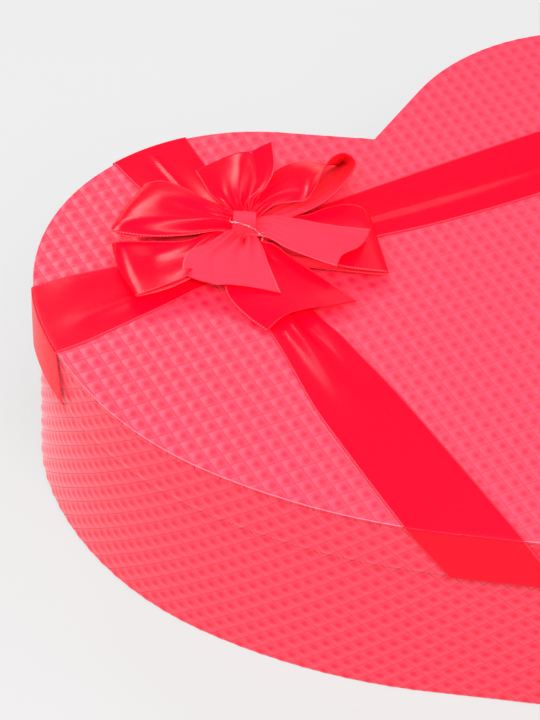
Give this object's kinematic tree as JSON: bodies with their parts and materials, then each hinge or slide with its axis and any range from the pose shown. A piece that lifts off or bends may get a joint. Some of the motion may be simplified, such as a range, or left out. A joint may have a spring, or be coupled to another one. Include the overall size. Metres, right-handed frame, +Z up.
{
  "type": "heart-shaped gift box",
  "caption": "Heart-shaped rigid gift box with a lift-off lid in embossed coral-red paper, crossed by satin ribbon and topped with a ribbon bow.",
  "frame": {"origin": "middle of the box's underside, on the surface it stands on", "axes": "+X across the heart to the right lobe, +Y along the heart's axis from the tip to the notch, +Z up"},
  "size_m": [0.3044, 0.2649, 0.1047],
  "materials": {
    "greyboard": "plain matte grey recycled board",
    "embossed_paper": "coral red covering paper embossed with a grid of small pillows, satin sheen",
    "lining_paper": "smooth matte off-white lining paper",
    "satin_ribbon": "bright red single-faced satin ribbon with a fine looped selvage",
    "tie_wire": "thin bright silver binding wire"
  },
  "bodies": {
    "base": {"base_floor_board": "greyboard", "base_wall_left": "greyboard", "base_wall_right": "greyboard", "base_wall_wrap": "embossed_paper", "base_wall_lining": "lining_paper", "base_floor_lining": "lining_paper", "base_underside_sheet": "lining_paper"},
    "lid": {"lid_panel_board": "greyboard", "lid_apron_left": "greyboard", "lid_apron_right": "greyboard", "lid_top_wrap": "embossed_paper", "lid_apron_wrap": "embossed_paper", "lid_panel_lining": "lining_paper", "lid_apron_lining": "lining_paper", "cross_ribbon": "satin_ribbon", "long_ribbon": "satin_ribbon", "bow_loop_lower_left": "satin_ribbon", "bow_loop_lower_right": "satin_ribbon", "bow_loop_upper_left": "satin_ribbon", "bow_loop_upper_right": "satin_ribbon", "bow_tail_front": "satin_ribbon", "bow_tail_lower": "satin_ribbon", "bow_tail_right": "satin_ribbon", "bow_tail_top": "satin_ribbon", "bow_knot_band": "satin_ribbon", "bow_tie_wire": "tie_wire"}
  },
  "joints": [
    {"name": "lid_lift", "type": "slide", "parent": "base", "child": "lid", "axis": [0, 0, 1], "range_m": [0, 0.15]}
  ]
}
